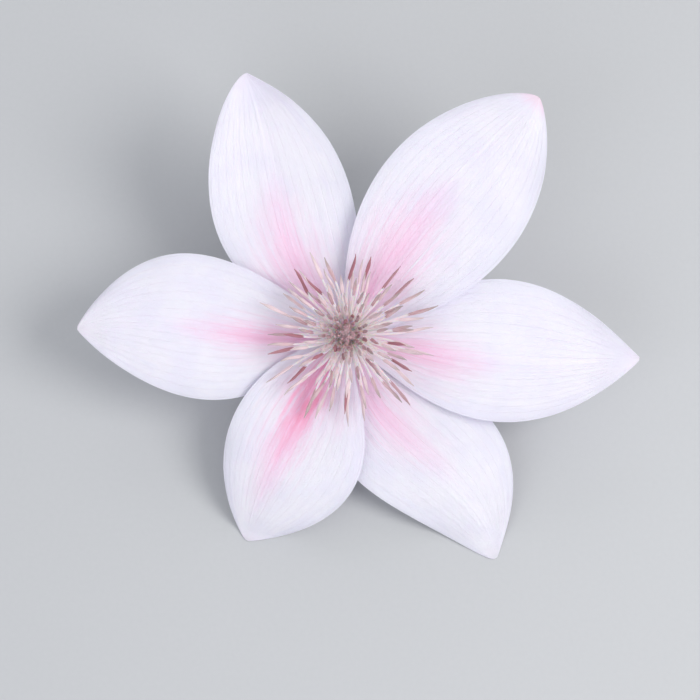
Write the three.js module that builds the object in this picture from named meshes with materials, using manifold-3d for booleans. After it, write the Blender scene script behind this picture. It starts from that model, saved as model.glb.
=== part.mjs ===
// A picked clematis flower lying face up on a flat surface.
// Six broad sepals stand round a green receptacle, over each other at their margins, with a boss of
// stamens and a tuft of styles in the middle. The short stalk bends back under the flower and lies
// on the surface. The flower leans on the tips of its two lowest sepals and on the stalk.
//
// Millimetres, +Z up, the surface at z = 0. The origin is on it, at the middle of the flower's box.
// The bloom is shaped in a frame of its own: z out of its face, x right and y up as seen face on.

import * as THREE from "three";
import { mergeVertices } from "three/addons/utils/BufferGeometryUtils.js";
import Module from "manifold-3d";

const wasm = await Module();
wasm.setup();

// Where the bloom lies: the middle of its ring of sepals, and how far its face leans from straight up
const bloomCentre = new THREE.Vector3(-2.46, -4.18, 16);
const bloomLean = THREE.MathUtils.degToRad(18);

// Receptacle: a short green drum that carries the sepals on its side
const receptacleRadius = 3.3;
const receptacleTop = 1.9;
const receptacleFoot = -2.2;
const seatGap = 0.3;

// Sepals
const sepalThickness = 0.8;
const sepalBaseRadius = receptacleRadius + seatGap;
const sepalBaseHalfWidth = 2.4;
const sepalTipHalfWidth = 0.35;
const sepalBroad = 16; // where a sepal is narrower than this, it flattens towards its tip
const sepalFold = { rise: 0.7, round: 0.16 }; // the shallow fold down its midline
const sepalSteps = { along: 20, across: 10, crowd: 1.35 }; // crowd: above 1, rows crowd to the tip
const bowScale = 27 / 4; // makes a bow's value the greatest distance that the midline bows
const freeFrom = 0.36; // the share of its length where a sepal comes free of its neighbours
const freeTo = 0.72;
const liftFrom = 0.3; // the share of its length where a sepal's own lift begins
const liftPower = 1.7; // above 1, the lift grows towards the tip
const waveTurn = { along: 9, across: 1.3 }; // how far the waves run, in radians, along and across
const bowl = { rise: 5, radius: 20 }; // the shallow bowl that all six share
const layerGap = 1.15; // from one layer of sepals to the next, at the middle
const layerSpread = 0.02; // how much further apart they lie for each millimetre outwards
const layerReach = 36;

// Each sepal as seen face on: the azimuth and reach of its tip, its greatest half widths on the
// clockwise and the other side of its midline, how far the midline bows sideways near the base and
// near the tip, how slowly each side widens from the base, and how pointed each side is (a small
// number is blunt). layer: 1 lies over its neighbours, -1 under them. lift: how far the tip rises
// from the bowl. cup: how far the middle stands over the margins. wave: the height of the margins'
// waves.
const sepals = [
  {
    azimuth: 111.4, reach: 63.8, widths: [16.3, 15.8], bows: [5, -1.1], rises: [0.8, 0.92],
    points: [1.05, 0.73], layer: -1, lift: 2, cup: -1.6, wave: 0.9, phase: 0.4,
  },
  {
    azimuth: 51.1, reach: 68.7, widths: [19, 15.1], bows: [2.2, 0.9], rises: [0.85, 0.8],
    points: [0.85, 0.7], layer: 1, lift: 3.5, cup: 1.2, wave: 1.1, phase: 2.1,
  },
  {
    azimuth: -4.7, reach: 66.4, widths: [12.8, 19.2], bows: [-2.4, -2.2], rises: [0.93, 1.06],
    points: [0.92, 1.06], layer: 0, lift: 1.5, cup: -1.2, wave: 0.9, phase: 3.6,
  },
  {
    azimuth: -56.3, reach: 61.3, widths: [14.7, 17.1], bows: [-5.3, 4.6], rises: [0.7, 0.76],
    points: [0.79, 1.04], layer: -1, lift: -5.5, cup: 1.4, wave: 0.8, phase: 5.2,
  },
  {
    azimuth: -116.2, reach: 52.4, widths: [13.4, 18.1], bows: [-0.4, -1.5], rises: [0.7, 1.1],
    points: [0.84, 0.92], layer: 1, lift: -9.5, cup: 1.5, wave: 0.8, phase: 1.2,
  },
  {
    azimuth: 178.6, reach: 61.3, widths: [16.9, 15.5], bows: [2.2, -2.4], rises: [0.93, 1.07],
    points: [0.88, 0.93], layer: 0, lift: 1, cup: 1, wave: 1, phase: 4.4,
  },
];

// Stamens: rings of them on a low cone, the torus, each ring with its number, the radius and height
// of its roots, and the radius and height that its anthers' tips reach
const torus = { foot: receptacleTop + seatGap, side: 1, top: 4.8, radius: 3.1, topRadius: 1.9 };
const torusSides = 20;
const stamenRings = [
  { count: 16, rootRadius: 3.1, rootHeight: 3, tipRadius: 20.4, tipHeight: 8.3 },
  { count: 15, rootRadius: 3, rootHeight: 3.3, tipRadius: 17, tipHeight: 10.4 },
  { count: 13, rootRadius: 2.8, rootHeight: 3.6, tipRadius: 13.6, tipHeight: 12 },
  { count: 11, rootRadius: 2.6, rootHeight: 3.9, tipRadius: 10.3, tipHeight: 13.3 },
  { count: 9, rootRadius: 2.4, rootHeight: 4.15, tipRadius: 7.2, tipHeight: 14.4 },
  { count: 7, rootRadius: 2.2, rootHeight: 4.4, tipRadius: 4.6, tipHeight: 15 },
];
const stamenJitter = { radius: 2.4, height: 1.4, turn: 0.2 };
const rootSunk = { radius: 0.5, height: 0.35 }; // how far a root lies inside the torus
const filamentRadius = 0.34;
const antherRadius = 0.5;
const antherTipRadius = 0.24;
const antherShare = 0.36; // of a stamen's length
const antherShoulder = 0.02; // the share over which a filament widens to its anther
const stamenBend = { out: 0.45, up: 0.62 }; // where a stamen bends, as shares of its way out and up
const stamenSides = 5;
const stamenSteps = 6;

// Pistils: a tuft of styles on a small head of carpels
const carpelHead = { radius: 1.25, height: 1.7 };
const carpelHeadSides = 12;
const styles = { count: 13, rootRadius: 0.8, tipRadius: 1.95, length: 8.4, thickness: 0.32 };
const styleShorter = 0.22; // the share by which the outermost styles are shorter
const styleJitter = 0.6;
const styleTwist = 0.2; // radians from root to tip
const styleBend = { out: 1.2, height: 5 }; // where a style bends, against its root
const styleSides = 4;
const styleSteps = 4;

// Stalk
const stalkRadius = 1.1;
const drumNarrows = { before: 0.6, after: 3.4 }; // how far above and below its foot the drum narrows
const stalkUpper = { thicker: 1.25, from: 6, to: 16 }; // it starts thicker and thins over this run
const stalkNeck = 6.5; // from the middle of the sepals to where the stalk has its plain thickness
const stalkSides = 12;
const stalkSteps = 44;
// Its route from the neck on, from under the bloom's middle: down in a bend and along the surface
const stalkRoute = [
  [-0.3, 6.6, 3.5],
  [-0.8, 14, 1.1],
  [-1.9, 24, 1.02],
  [-4.8, 36, 1.02],
  [-10.6, 47, 1.02],
  [-19, 56.5, 1.02],
];

// A number from 0 to 1 that looks random and is the same each run
function dice(seed) {
  let state = seed;
  return () => {
    state = (state + 0x6d2b79f5) | 0;
    let t = Math.imul(state ^ (state >>> 15), 1 | state);
    t = (t + Math.imul(t ^ (t >>> 7), 61 | t)) ^ t;
    return ((t ^ (t >>> 14)) >>> 0) / 4294967296;
  };
}

function geometryOf(positions, index) {
  const geometry = new THREE.BufferGeometry();
  geometry.setAttribute("position", new THREE.Float32BufferAttribute(positions, 3));
  geometry.setIndex(index);
  geometry.computeVertexNormals();
  return geometry;
}

// A closed sheet: a grid of points on its face, the same grid on its back with the same diagonals,
// and a rim between them. pointAt takes a share of the length, a place across from -1 to 1, and a side.
function sheet(pointAt, steps) {
  const positions = [];
  const index = [];
  const row = steps.across + 1;
  const back = row * (steps.along + 1);
  const alongAt = (i) => 1 - (1 - i / steps.along) ** steps.crowd;
  for (const side of [0.5, -0.5])
    for (let i = 0; i <= steps.along; i++)
      for (let j = 0; j <= steps.across; j++)
        positions.push(...pointAt(alongAt(i), (2 * j) / steps.across - 1, side));
  for (let i = 0; i < steps.along; i++)
    for (let j = 0; j < steps.across; j++) {
      const a = i * row + j;
      const b = a + 1;
      const c = a + row;
      const d = c + 1;
      index.push(a, c, d, a, d, b);
      index.push(a + back, d + back, c + back, a + back, b + back, d + back);
    }
  const rim = (from, to) => index.push(from, to, to + back, from, to + back, from + back);
  for (let j = 0; j < steps.across; j++) {
    rim(j, j + 1);
    rim(steps.along * row + j + 1, steps.along * row + j);
  }
  for (let i = 0; i < steps.along; i++) {
    rim((i + 1) * row, i * row);
    rim(i * row + steps.across, (i + 1) * row + steps.across);
  }
  return geometryOf(positions, index);
}

// A closed rod along a curve, its radius given by the share of the length
function rod(curve, radiusAt, sides, steps) {
  const frames = curve.computeFrenetFrames(steps, false);
  const positions = [];
  const index = [];
  for (let i = 0; i <= steps; i++) {
    const share = i / steps;
    const middle = curve.getPointAt(share);
    for (let j = 0; j < sides; j++) {
      const turn = (2 * Math.PI * j) / sides;
      const radius = radiusAt(share);
      const point = middle
        .clone()
        .addScaledVector(frames.normals[i], radius * Math.cos(turn))
        .addScaledVector(frames.binormals[i], radius * Math.sin(turn));
      positions.push(point.x, point.y, point.z);
    }
  }
  for (let i = 0; i < steps; i++)
    for (let j = 0; j < sides; j++) {
      const a = i * sides + j;
      const b = i * sides + ((j + 1) % sides);
      index.push(a, b, b + sides, a, b + sides, a + sides);
    }
  const last = steps * sides;
  for (let j = 1; j < sides - 1; j++) {
    index.push(0, j + 1, j);
    index.push(last, last + j, last + j + 1);
  }
  return geometryOf(positions, index);
}

// A solid turned about Z from points of radius and height
function turned(profile, sides) {
  const points = profile.map(([radius, height]) => new THREE.Vector2(radius, height));
  return new THREE.LatheGeometry(points, sides).rotateX(Math.PI / 2);
}

// Solids for joining, and back to a geometry
function solidOf(geometry) {
  const plain = geometry.clone();
  for (const name of ["normal", "uv"]) plain.deleteAttribute(name);
  const merged = mergeVertices(plain, 1e-4);
  return new wasm.Manifold(
    new wasm.Mesh({
      numProp: 3,
      vertProperties: new Float32Array(merged.attributes.position.array),
      triVerts: new Uint32Array(merged.index.array),
    }),
  );
}

function joined(geometries) {
  const [first, ...others] = geometries.map(solidOf);
  const mesh = others.reduce((whole, next) => whole.add(next), first).getMesh();
  return geometryOf(Array.from(mesh.vertProperties), Array.from(mesh.triVerts));
}

function polar(radius, turn, height) {
  return new THREE.Vector3(radius * Math.cos(turn), radius * Math.sin(turn), height);
}

// The height, in the bloom's frame, of the surface that it lies on
function surfaceHeight(y) {
  return -(bloomCentre.z + y * Math.sin(bloomLean)) / Math.cos(bloomLean);
}

// A sepal's half width on one side: a bell that is widest near the middle, plus its broad base
function halfWidth(sepal, along, side) {
  const rise = sepal.rises[side];
  const point = sepal.points[side];
  const widest = rise / (rise + point);
  const bell = (along / widest) ** rise * ((1 - along) / (1 - widest)) ** point;
  const ends = sepalBaseHalfWidth * (1 - along) ** 6 + sepalTipHalfWidth * along;
  return sepal.widths[side] * bell + ends;
}

// A point on a sepal. In plan it follows the tip's direction, bowed sideways. In height it is the
// shared bowl, its layer, and past the overlap its own lift, cup, fold and waves. Where it would sink
// into the surface below, it lies on it.
function sepalPoint(sepal, along, across, side) {
  const turn = THREE.MathUtils.degToRad(sepal.azimuth);
  const out = sepalBaseRadius + (sepal.reach - sepalBaseRadius) * along;
  const bow = bowScale * along * (1 - along) * (sepal.bows[0] * (1 - along) + sepal.bows[1] * along);
  const sideways = bow + across * halfWidth(sepal, along, across < 0 ? 0 : 1);
  const x = out * Math.cos(turn) - sideways * Math.sin(turn);
  const y = out * Math.sin(turn) + sideways * Math.cos(turn);

  const radius = Math.hypot(x, y);
  const shared = (bowl.rise * radius ** 2) / (radius ** 2 + bowl.radius ** 2);
  const layer = sepal.layer * (layerGap + layerSpread * Math.min(radius, layerReach));
  const width = halfWidth(sepal, along, 0) + halfWidth(sepal, along, 1);
  const clear = THREE.MathUtils.smoothstep(along, freeFrom, freeTo);
  const free = clear * Math.min(1, width / sepalBroad);
  const lift = sepal.lift * Math.max(0, (along - liftFrom) / (1 - liftFrom)) ** liftPower;
  const cup = sepal.cup * free * (1 - across ** 2);
  const fold = sepalFold.rise * free * (Math.hypot(across, sepalFold.round) - sepalFold.round);
  const ripple = Math.sin(waveTurn.along * along + sepal.phase + waveTurn.across * across);
  const wave = sepal.wave * free * Math.abs(across) ** 3 * ripple;
  const middle = shared + layer + lift + cup + fold + wave;
  const lowest = surfaceHeight(y) + sepalThickness / 2;
  return [x, y, Math.max(middle, lowest) + side * sepalThickness];
}

// A stamen: a thin filament that leaves its root steeply and bends outwards, then a longer, thicker
// anther that tapers to its tip
function stamen(ring, turn, roll) {
  const tipRadius = ring.tipRadius + stamenJitter.radius * (roll() - 0.5);
  const tipHeight = ring.tipHeight + stamenJitter.height * (roll() - 0.5);
  const tipTurn = turn + stamenJitter.turn * (roll() - 0.5);
  const root = polar(ring.rootRadius - rootSunk.radius, turn, ring.rootHeight - rootSunk.height);
  const tip = polar(tipRadius, tipTurn, tipHeight);
  const bend = polar(
    THREE.MathUtils.lerp(ring.rootRadius, tipRadius, stamenBend.out),
    THREE.MathUtils.lerp(turn, tipTurn, 0.5),
    THREE.MathUtils.lerp(ring.rootHeight, tipHeight, stamenBend.up),
  );
  const curve = new THREE.QuadraticBezierCurve3(root, bend, tip);
  const antherFrom = 1 - antherShare;
  const radiusAt = (share) => {
    if (share < antherFrom - antherShoulder) return filamentRadius;
    const onAnther = (share - antherFrom) / antherShare;
    return THREE.MathUtils.lerp(antherRadius, antherTipRadius, Math.max(0, onAnther) ** 3);
  };
  return rod(curve, radiusAt, stamenSides, stamenSteps);
}

function stamenBoss() {
  const roll = dice(11);
  const profile = [
    [0, torus.foot],
    [torus.radius, torus.foot],
    [torus.radius, torus.foot + torus.side],
    [torus.topRadius, torus.top],
    [0, torus.top],
  ];
  const pieces = [turned(profile, torusSides)];
  stamenRings.forEach((ring, k) => {
    for (let i = 0; i < ring.count; i++)
      pieces.push(stamen(ring, (2 * Math.PI * (i + 0.5 * (k % 2) + 0.2 * k)) / ring.count, roll));
  });
  return joined(pieces);
}

// The styles stand in a tuft, spaced by the golden angle, each leaning out a little at its tip
function pistilTuft() {
  const roll = dice(5);
  const foot = torus.top + seatGap;
  const profile = [
    [0, foot],
    [carpelHead.radius, foot],
    [carpelHead.radius, foot + 0.5 * carpelHead.height],
    [0.5 * carpelHead.radius, foot + carpelHead.height],
    [0, foot + carpelHead.height],
  ];
  const goldenAngle = Math.PI * (3 - Math.sqrt(5));
  const pieces = [turned(profile, carpelHeadSides)];
  for (let i = 0; i < styles.count; i++) {
    const share = Math.sqrt((i + 0.5) / styles.count);
    const turn = i * goldenAngle;
    const shorter = 1 - styleShorter * share ** 2;
    const length = styles.length * shorter + styleJitter * (roll() - 0.5);
    const top = foot + carpelHead.height + length;
    const curve = new THREE.QuadraticBezierCurve3(
      polar(styles.rootRadius * share, turn, foot + 0.5),
      polar(styles.rootRadius * share * styleBend.out, turn, foot + styleBend.height),
      polar(styles.tipRadius * share, turn + styleTwist, top),
    );
    const radiusAt = (part) => styles.thickness * (1.15 - 0.4 * part);
    pieces.push(rod(curve, radiusAt, styleSides, styleSteps));
  }
  return joined(pieces);
}

// The stalk and the receptacle are one rod: plain and thin along the surface, then widening to the
// drum. Where it would sink into the surface it is flattened on it.
function stalkGeometry() {
  const downAxis = new THREE.Vector3(0, Math.sin(bloomLean), -Math.cos(bloomLean));
  const onAxis = (distance) => bloomCentre.clone().addScaledVector(downAxis, distance);
  const ground = new THREE.Vector3(bloomCentre.x, bloomCentre.y, 0);
  const route = [
    ...[-receptacleTop, 0.2, 2.4, 4.4, stalkNeck].map(onAxis),
    ...stalkRoute.map((point) => new THREE.Vector3(...point).add(ground)),
  ];
  const curve = new THREE.CatmullRomCurve3(route, false, "centripetal");
  curve.arcLengthDivisions = 600;
  const length = curve.getLength();
  const drum = receptacleTop - receptacleFoot;
  const radiusAt = (share) => {
    const run = share * length;
    const narrowing = [drum - drumNarrows.before, drum + drumNarrows.after];
    const below = THREE.MathUtils.smoothstep(run, ...narrowing);
    const taper = THREE.MathUtils.smoothstep(run, stalkUpper.from, stalkUpper.to);
    const plain = THREE.MathUtils.lerp(stalkRadius * stalkUpper.thicker, stalkRadius, taper);
    return THREE.MathUtils.lerp(receptacleRadius, plain, below);
  };
  const geometry = rod(curve, radiusAt, stalkSides, stalkSteps);
  const position = geometry.attributes.position;
  for (let i = 0; i < position.count; i++) position.setZ(i, Math.max(0, position.getZ(i)));
  return geometry;
}

const petalWhite = { color: 0xf2eef8, roughness: 0.6, metalness: 0, side: THREE.DoubleSide };
const antherMauve = { color: 0xa9828f, roughness: 0.8, metalness: 0 };
const styleMauve = { color: 0x8a5a6c, roughness: 0.8, metalness: 0 };
const stalkGreen = { color: 0x7c9152, roughness: 0.7, metalness: 0 };

function mesh(name, geometry, finish) {
  const made = new THREE.Mesh(geometry, new THREE.MeshStandardMaterial(finish));
  made.name = name;
  return made;
}

const bloom = new THREE.Group();
bloom.position.copy(bloomCentre);
bloom.rotation.x = bloomLean;
sepals.forEach((sepal, i) => {
  const shape = sheet((along, across, side) => sepalPoint(sepal, along, across, side), sepalSteps);
  bloom.add(mesh(`sepal_${i + 1}`, shape, petalWhite));
});
bloom.add(mesh("stamens", stamenBoss(), antherMauve));
bloom.add(mesh("pistils", pistilTuft(), styleMauve));

const flower = new THREE.Group();
flower.add(bloom);
flower.add(mesh("stalk", stalkGeometry(), stalkGreen));

export default flower;
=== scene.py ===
# Dresses the picked clematis: six veined sepals with rose bars, a boss of stamens round a tuft of
# silky styles, and a downy stalk, on a pale floor in soft studio light.
import math
import bpy
import numpy as np
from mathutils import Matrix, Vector


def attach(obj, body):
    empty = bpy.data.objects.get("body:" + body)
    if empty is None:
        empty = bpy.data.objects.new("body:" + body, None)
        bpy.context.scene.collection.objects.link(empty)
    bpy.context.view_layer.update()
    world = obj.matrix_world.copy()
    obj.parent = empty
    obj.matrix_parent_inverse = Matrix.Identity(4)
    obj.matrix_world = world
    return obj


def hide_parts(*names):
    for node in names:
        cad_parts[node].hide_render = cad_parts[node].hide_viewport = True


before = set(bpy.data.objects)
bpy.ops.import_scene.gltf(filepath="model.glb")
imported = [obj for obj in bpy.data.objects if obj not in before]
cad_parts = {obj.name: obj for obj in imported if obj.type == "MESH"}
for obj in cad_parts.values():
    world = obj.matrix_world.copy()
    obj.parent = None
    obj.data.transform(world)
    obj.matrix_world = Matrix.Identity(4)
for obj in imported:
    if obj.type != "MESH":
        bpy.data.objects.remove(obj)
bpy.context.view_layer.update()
print("frame loaded")

mm = 0.001
sharpAngle = math.radians(60)
goldenAngle = math.pi * (3 - math.sqrt(5))

# Where the bloom lies: the middle of its sepals in mm, and how far its face leans from straight up.
# Shapes below are in the bloom's own frame: z out of its face, x right and y up as seen face on.
bloom = {"centre": (-2.46, -4.18, 16.0), "lean": math.radians(18)}

receptacle = {"radius": 3.3, "top": 1.9, "foot": -2.2, "seatGap": 0.3}
baseRadius = receptacle["radius"] + receptacle["seatGap"]


# Bloom points in mm to the row frame in metres: turned by the lean about X, moved to the centre
def intoRow(points):
    x, y, z = np.moveaxis(np.asarray(points, float), -1, 0)
    c, s = math.cos(bloom["lean"]), math.sin(bloom["lean"])
    turned = np.stack([x, c * y - s * z, s * y + c * z], axis=-1)
    return (turned + np.array(bloom["centre"])) * mm


# 0 below low, 1 above high and 3t^2 - 2t^3 between them
def smoothStep(value, low, high):
    t = np.clip((value - low) / (high - low), 0, 1)
    return t * t * (3 - 2 * t)


def unit(vectors):
    return vectors / np.maximum(np.linalg.norm(vectors, axis=-1, keepdims=True), 1e-12)


# A mesh from points and sets of faces, each set an array with one row of corners for each face.
# uv has one pair for each point, and what else is named becomes a number for each point.
def makePiece(name, points, faceSets, material, uv=None, **numbers):
    mesh = bpy.data.meshes.new(name)
    corners = np.concatenate([faces.ravel() for faces in faceSets]).astype(np.int32)
    sizes = np.concatenate([np.full(len(faces), faces.shape[1]) for faces in faceSets])
    starts = np.concatenate(([0], np.cumsum(sizes)[:-1])).astype(np.int32)
    mesh.vertices.add(len(points))
    mesh.vertices.foreach_set("co", np.asarray(points, np.float32).ravel())
    mesh.loops.add(len(corners))
    mesh.loops.foreach_set("vertex_index", corners)
    mesh.polygons.add(len(sizes))
    mesh.polygons.foreach_set("loop_start", starts)
    mesh.update(calc_edges=True)
    if uv is not None:
        layer = mesh.uv_layers.new(name="UVMap")
        layer.data.foreach_set("uv", np.asarray(uv, np.float32)[corners].ravel())
    for label, values in numbers.items():
        layer = mesh.attributes.new(label, "FLOAT", "POINT")
        layer.data.foreach_set("value", np.asarray(values, np.float32).ravel())
    mesh.shade_smooth()
    mesh.set_sharp_from_angle(angle=sharpAngle)
    mesh.materials.append(material)
    piece = bpy.data.objects.new(name, mesh)
    bpy.context.scene.collection.objects.link(piece)
    return piece


# Quads of a grid of rows by columns, each row closed on itself if asked
def gridFaces(rows, columns, closed=False):
    index = np.arange(rows * columns).reshape(rows, columns)
    if closed:
        index = np.concatenate([index, index[:, :1]], axis=1)
    return np.stack([index[:-1, :-1], index[:-1, 1:], index[1:, 1:], index[1:, :-1]], -1).reshape(-1, 4)


# The faces of a tube of rows of points, closed by one flat face at its foot and one at its top
def tubeFaces(rows, sides):
    ring = np.arange(sides)
    return [gridFaces(rows, sides, closed=True), ring[::-1][None], (ring + (rows - 1) * sides)[None]]


# Many rods at once. paths is rods x steps x 3. across is the way each section's width points, a
# vector for each rod or step. Each section is widths by depths times an outline of the unit circle.
# The ends are closed with one flat face each.
def sweepRods(paths, across, widths, depths, outline):
    rods, steps, _ = paths.shape
    along = unit(np.gradient(paths, axis=1))
    across = np.broadcast_to(across, paths.shape)
    across = unit(across - (across * along).sum(-1, keepdims=True) * along)
    out = np.cross(along, across)
    x = outline[:, 0] * np.broadcast_to(widths, (rods, steps))[..., None]
    y = outline[:, 1] * np.broadcast_to(depths, (rods, steps))[..., None]
    points = paths[:, :, None] + x[..., None] * across[:, :, None] + y[..., None] * out[:, :, None]
    sides = len(outline)
    shift = (np.arange(rods) * steps * sides)[:, None, None]
    faces = [(part[None] + shift).reshape(-1, part.shape[1]) for part in tubeFaces(steps, sides)]
    turn = np.broadcast_to(np.arange(sides) / sides, (rods, steps, sides))
    share = np.broadcast_to(np.linspace(0, 1, steps)[None, :, None], (rods, steps, sides))
    uv = np.stack([share, turn], -1).reshape(-1, 2)
    return points.reshape(-1, 3), faces, uv


# Rods as sweepRods gives them, together with a form that is a closed tube of rows of points
def withForm(rods, form):
    rows, sides, _ = form.shape
    points = np.concatenate([rods[0], form.reshape(-1, 3)])
    faces = rods[1] + [part + len(rods[0]) for part in tubeFaces(rows, sides)]
    return points, faces, np.concatenate([rods[2], np.zeros((rows * sides, 2))])


# Even turns round a circle, in radians
def roundTurns(sides):
    return 2 * np.pi * np.arange(sides) / sides


def roundOutline(sides):
    turn = roundTurns(sides)
    return np.stack([np.cos(turn), np.sin(turn)], -1)


# Bezier curves of three control points each, as rods x steps x 3
def bend(start, middle, end, steps):
    t = np.linspace(0, 1, steps)[None, :, None]
    return (1 - t) ** 2 * start[:, None] + 2 * t * (1 - t) * middle[:, None] + t**2 * end[:, None]


def polar(radius, turn, height):
    return np.stack(np.broadcast_arrays(radius * np.cos(turn), radius * np.sin(turn), height), -1)


# Building blocks for materials. A colour is a socket or a tuple of three numbers.
def addNode(tree, kind, **settings):
    node = tree.nodes.new(kind)
    for label, value in settings.items():
        setattr(node, label, value)
    return node


def feed(tree, socket, value):
    if isinstance(value, bpy.types.NodeSocket):
        tree.links.new(value, socket)
    else:
        socket.default_value = (*value, 1) if isinstance(value, tuple) else value


def feedAll(tree, node, **values):
    for label, value in values.items():
        feed(tree, node.inputs[label], value)


def sums(tree, operation, *values, clamp=False):
    node = addNode(tree, "ShaderNodeMath", operation=operation, use_clamp=clamp)
    for socket, value in zip(node.inputs, values):
        feed(tree, socket, value)
    return node.outputs[0]


# The product of all the values, held between 0 and 1 if asked
def times(tree, first, *others, clamp=False):
    for value in others[:-1]:
        first = sums(tree, "MULTIPLY", first, value)
    return sums(tree, "MULTIPLY", first, others[-1], clamp=clamp)


def plus(tree, first, *others):
    for value in others:
        first = sums(tree, "ADD", first, value)
    return first


def scaled(tree, value, by, shift):
    return sums(tree, "MULTIPLY_ADD", value, by, shift)


# A smooth step from start at low to end at high
def ease(tree, value, low, high, start=0.0, end=1.0):
    node = addNode(tree, "ShaderNodeMapRange", interpolation_type="SMOOTHSTEP")
    limits = {"From Min": low, "From Max": high, "To Min": start, "To Max": end}
    feedAll(tree, node, Value=value, **limits)
    return node.outputs[0]


# Colours laid over a first one in turn, each as far as its mask says
def layered(tree, colour, *coats):
    for mask, coat in coats:
        node = addNode(tree, "ShaderNodeMix", data_type="RGBA")
        for place, value in zip((0, 6, 7), (mask, colour, coat)):
            feed(tree, node.inputs[place], value)
        colour = node.outputs[2]
    return colour


def noise(tree, vector, scale=1.0, detail=2.0, roughness=0.5):
    node = addNode(tree, "ShaderNodeTexNoise")
    feedAll(tree, node, Vector=vector, Scale=scale, Detail=detail, Roughness=roughness)
    return node.outputs["Fac"]


def cellPattern(tree, vector, scale, feature="F1"):
    node = addNode(tree, "ShaderNodeTexVoronoi", feature=feature)
    feedAll(tree, node, Vector=vector, Scale=scale)
    return node.outputs["Distance"]


def objectPlace(tree):
    return addNode(tree, "ShaderNodeTexCoord").outputs["Object"]


def surfacePlace(tree):
    uv = addNode(tree, "ShaderNodeUVMap", uv_map="UVMap").outputs[0]
    parts = addNode(tree, "ShaderNodeSeparateXYZ")
    tree.links.new(uv, parts.inputs[0])
    return parts.outputs[0], parts.outputs[1]


# A place on the surface with its two ways stretched, for patterns that run along it
def stretchedPlace(tree, along, across, stretch, draw=0.0):
    node = addNode(tree, "ShaderNodeCombineXYZ")
    stretched = times(tree, along, stretch[0]), times(tree, across, stretch[1])
    for socket, value in zip(node.inputs, (*stretched, draw)):
        feed(tree, socket, value)
    return node.outputs[0]


def pointNumber(tree, label):
    return addNode(tree, "ShaderNodeAttribute", attribute_name=label).outputs["Fac"]


def newGroup(name, inputs, outputs):
    tree = bpy.data.node_groups.new(name, "ShaderNodeTree")
    for label, value in inputs.items():
        socket = tree.interface.new_socket(name=label, in_out="INPUT", socket_type="NodeSocketFloat")
        socket.default_value = value
    for label, kind in outputs.items():
        tree.interface.new_socket(name=label, in_out="OUTPUT", socket_type="NodeSocket" + kind)
    return tree, addNode(tree, "NodeGroupInput"), addNode(tree, "NodeGroupOutput")


def useGroup(tree, group, **values):
    node = addNode(tree, "ShaderNodeGroup", node_tree=group)
    feedAll(tree, node, **values)
    return node


def newMaterial(name, **constants):
    material = bpy.data.materials.new(name)
    material.use_nodes = True
    shader = material.node_tree.nodes["Principled BSDF"]
    for label, value in constants.items():
        shader.inputs[label.replace("_", " ")].default_value = value
    return material, material.node_tree, shader


def paint(tree, shader, colour, roughness):
    tree.links.new(colour, shader.inputs["Base Color"])
    feed(tree, shader.inputs["Roughness"], roughness)


# Relief of a height pattern, its depth in mm
def addBump(tree, shader, height, depth):
    node = addNode(tree, "ShaderNodeBump")
    feedAll(tree, node, Strength=1.0, Distance=depth * mm, Height=height)
    tree.links.new(node.outputs[0], shader.inputs["Normal"])


# Cloudy differences of tone and a fine skin of cells, which every living surface here has. Sizes
# are in mm.
def buildTissue():
    tree, given, result = newGroup(
        "livingTissue", {"Cloud size": 6.0, "Cell size": 0.25}, {"Cloud": "Float", "Cells": "Float"}
    )
    place = objectPlace(tree)
    cloudScale = sums(tree, "DIVIDE", 1 / mm, given.outputs["Cloud size"])
    cellScale = sums(tree, "DIVIDE", 1 / mm, given.outputs["Cell size"])
    tree.links.new(noise(tree, place, cloudScale, 3.0), result.inputs["Cloud"])
    tree.links.new(cellPattern(tree, place, cellScale, "SMOOTH_F1"), result.inputs["Cells"])
    return tree


tissue = buildTissue()


def livingSkin(tree, cloudSize, cellSize):
    skin = useGroup(tree, tissue, **{"Cloud size": cloudSize, "Cell size": cellSize})
    return skin.outputs["Cloud"], skin.outputs["Cells"]


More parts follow.
